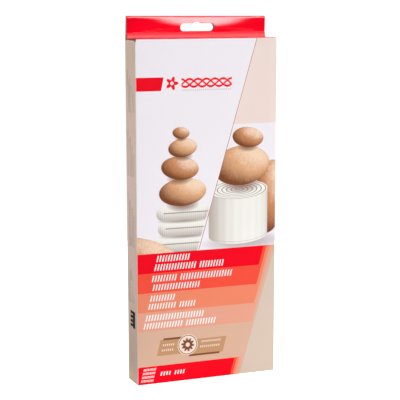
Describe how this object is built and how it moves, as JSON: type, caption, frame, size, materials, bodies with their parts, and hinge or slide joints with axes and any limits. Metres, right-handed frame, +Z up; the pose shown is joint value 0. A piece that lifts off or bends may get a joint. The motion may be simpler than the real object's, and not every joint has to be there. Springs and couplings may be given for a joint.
{
  "type": "hang-tab folding carton for an elastic medical belt",
  "caption": "Flat upright folding carton with a folded-over hang tab, a slotted tab, a hinged lid with tuck flap and dust flaps under it.",
  "frame": {"origin": "middle of the carton's footprint, on the surface that it stands on", "axes": "+X to the right across the front panel, +Y from the front panel to the back panel, +Z up to the hang tab"},
  "size_m": [0.13, 0.026, 0.3165],
  "materials": {
    "printed_board": "satin",
    "red_board": "satin",
    "plain_board": "matte"
  },
  "bodies": {
    "carton": {"sleeve": "printed_board", "hang_tab": "red_board", "bottom_panel": "printed_board", "bottom_left_dust_flap": "plain_board", "bottom_right_dust_flap": "plain_board"},
    "lid": {"lid": "red_board"},
    "tuck_flap": {"tuck_flap": "red_board"},
    "left_dust_flap": {"left_dust_flap": "plain_board"},
    "right_dust_flap": {"right_dust_flap": "plain_board"}
  },
  "joints": [
    {"name": "lid_hinge", "type": "hinge", "parent": "carton", "child": "lid", "pos_m": [0, 0.01, 0.29775], "axis": [-1, 0, 0], "range_deg": [0, 65]},
    {"name": "tuck_hinge", "type": "hinge", "parent": "lid", "child": "tuck_flap", "pos_m": [0, -0.01175, 0.29775], "axis": [1, 0, 0], "range_deg": [0, 60]},
    {"name": "left_dust_hinge", "type": "hinge", "parent": "carton", "child": "left_dust_flap", "pos_m": [-0.06395, 0, 0.29695], "axis": [0, 1, 0], "range_deg": [0, 80]},
    {"name": "right_dust_hinge", "type": "hinge", "parent": "carton", "child": "right_dust_flap", "pos_m": [0.06395, 0, 0.29695], "axis": [0, -1, 0], "range_deg": [0, 80]}
  ],
  "couplings": [
    {"joint": "tuck_hinge", "follows": "lid_hinge", "ratio": 0.7}
  ]
}
